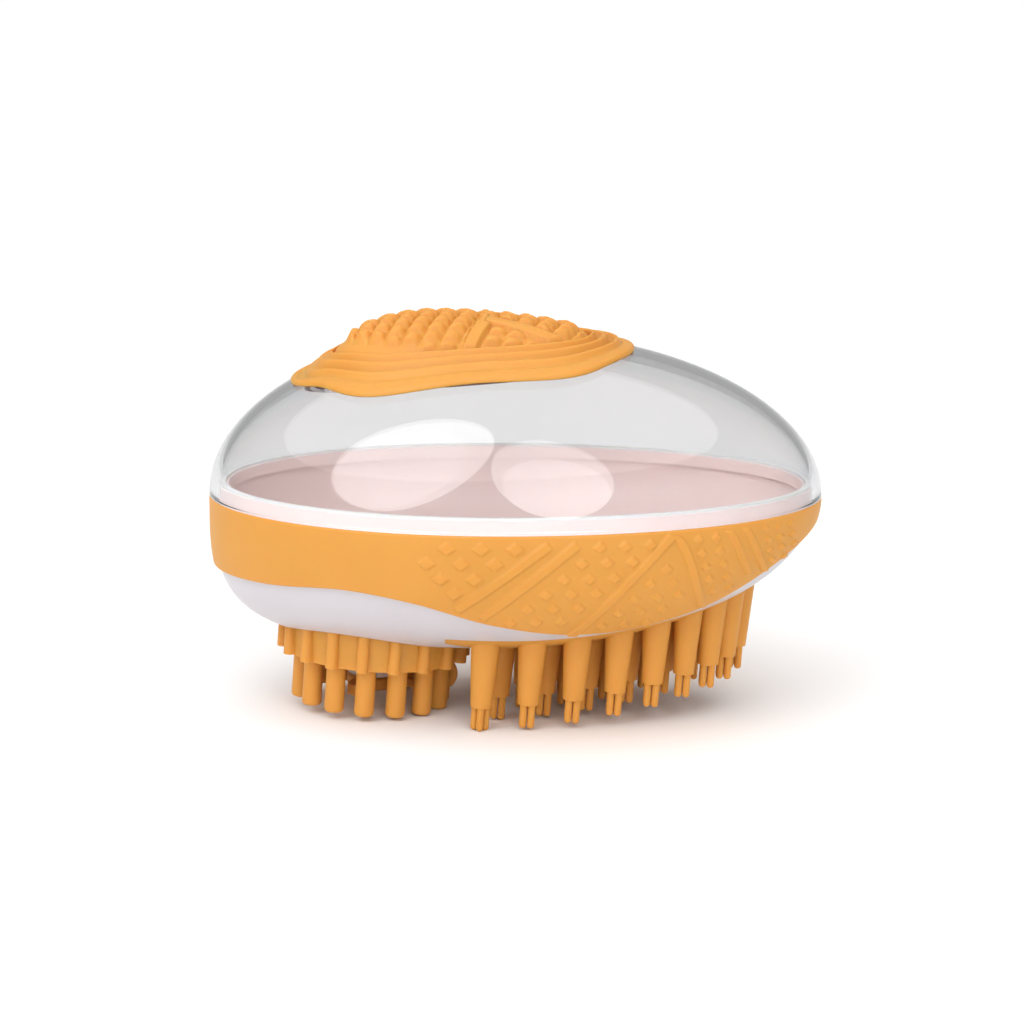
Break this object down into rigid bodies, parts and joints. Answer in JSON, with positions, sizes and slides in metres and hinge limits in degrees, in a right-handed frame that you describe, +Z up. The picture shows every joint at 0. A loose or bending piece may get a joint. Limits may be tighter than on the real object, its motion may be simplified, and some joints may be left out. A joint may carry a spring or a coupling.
{
  "type": "pet bath brush",
  "caption": "Egg-shaped hand brush with a clear shampoo reservoir, soft press button, forked bristles and a pegged screw cap with a tethered stopper.",
  "frame": {"origin": "on the surface it stands on, under the centre of its outline", "axes": "+Z up, +X towards the pointed nose above the bristles, +Y to the left when facing the nose"},
  "size_m": [0.125, 0.079, 0.0821],
  "materials": {
    "clear_plastic": "clear gloss",
    "orange_silicone": "satin",
    "white_plastic": "semi-gloss",
    "white_silicone": "satin"
  },
  "bodies": {
    "body": {"clear_dome": "clear_plastic", "rim_seal": "white_silicone", "base_shell": "white_plastic", "grip_band": "orange_silicone", "bristle_pad": "orange_silicone", "button_rim": "orange_silicone", "button_clamp": "clear_plastic"},
    "washer": {"cap_gasket": "white_silicone"},
    "cap": {"filler_cap": "white_plastic", "cap_brush": "orange_silicone", "outlet_valve": "white_silicone", "valve_retainer": "white_plastic", "tether_strap": "orange_silicone"},
    "stopper": {"outlet_stopper": "orange_silicone"},
    "button": {"button_crown": "orange_silicone"}
  },
  "joints": [
    {"name": "button_press", "type": "slide", "parent": "body", "child": "button", "axis": [0, 0, -1], "range_m": [0, 0.006], "stiffness_N_per_m": 600, "springref_m": -0.001},
    {"name": "cap_drop", "type": "slide", "parent": "body", "child": "washer", "axis": [-0.068, 0, -0.9977], "range_m": [0, 0.006]},
    {"name": "cap_turn", "type": "hinge", "parent": "washer", "child": "cap", "pos_m": [-0.0268, 0, 0.0446], "axis": [-0.068, 0, -0.9977], "range_deg": [0, 720]},
    {"name": "stopper_pull", "type": "slide", "parent": "cap", "child": "stopper", "axis": [-0.068, 0, -0.9977], "range_m": [0, 0.008]}
  ],
  "couplings": [
    {"joint": "cap_drop", "follows": "cap_turn", "m_per_rad": 0.00047746}
  ]
}
